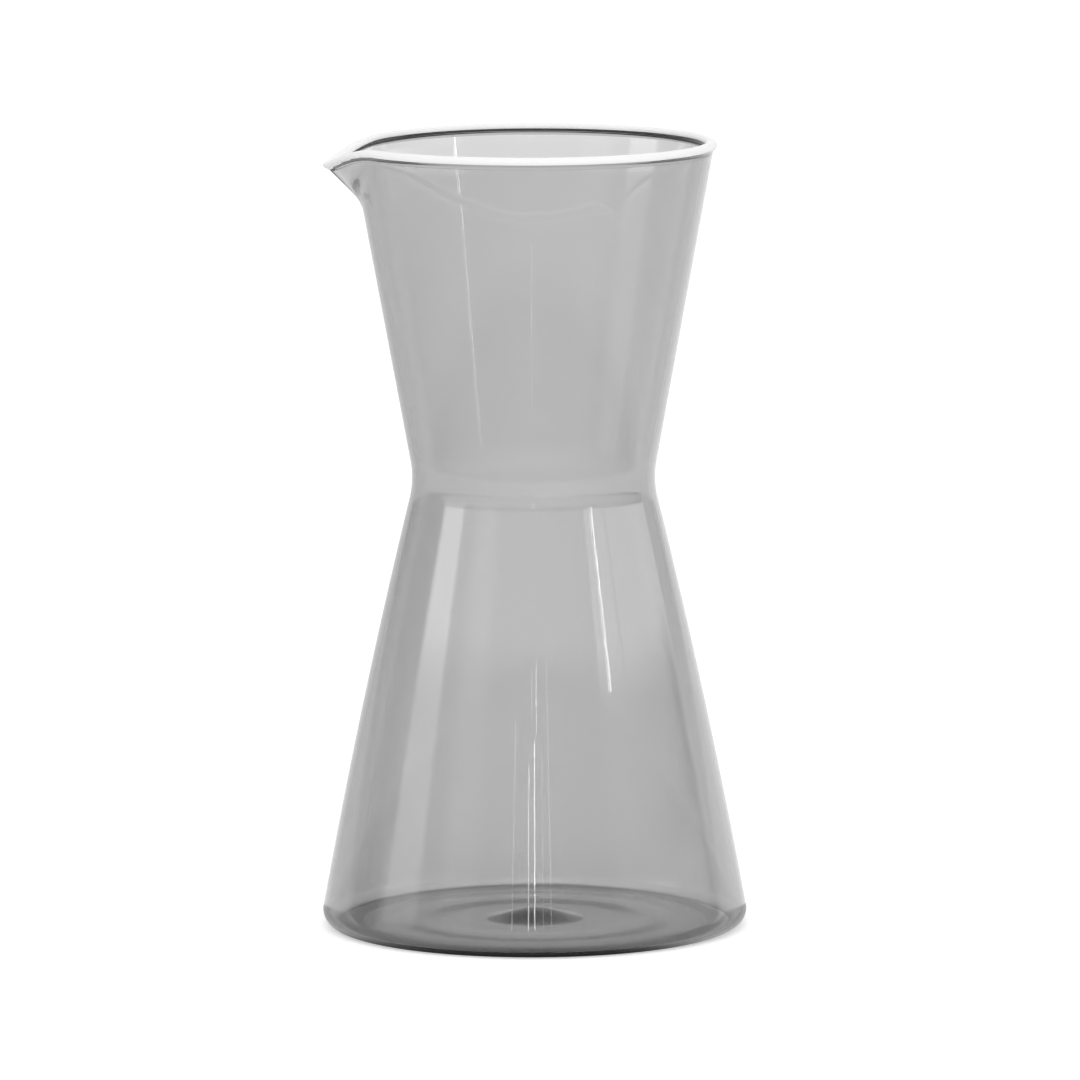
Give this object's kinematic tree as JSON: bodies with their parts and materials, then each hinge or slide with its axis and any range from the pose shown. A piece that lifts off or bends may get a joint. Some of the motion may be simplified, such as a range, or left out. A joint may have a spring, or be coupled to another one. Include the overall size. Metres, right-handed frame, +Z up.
{
  "type": "coffee server carafe",
  "caption": "One-piece blown glass coffee server with a wide foot, a narrow waist to hold it by, a flared mouth with a rounded rim and a small drawn pouring spout.",
  "frame": {"origin": "on the carafe's axis, in the plane of the ring it stands on", "axes": "+Z up along the axis, the spout points to -X"},
  "size_m": [0.1076, 0.1076, 0.2],
  "materials": {
    "smoked_glass": "clear smoked grey, fire polished, the top of the rim ground to a satin white"
  },
  "bodies": {
    "root": {"glass_body": "smoked_glass"}
  },
  "joints": []
}
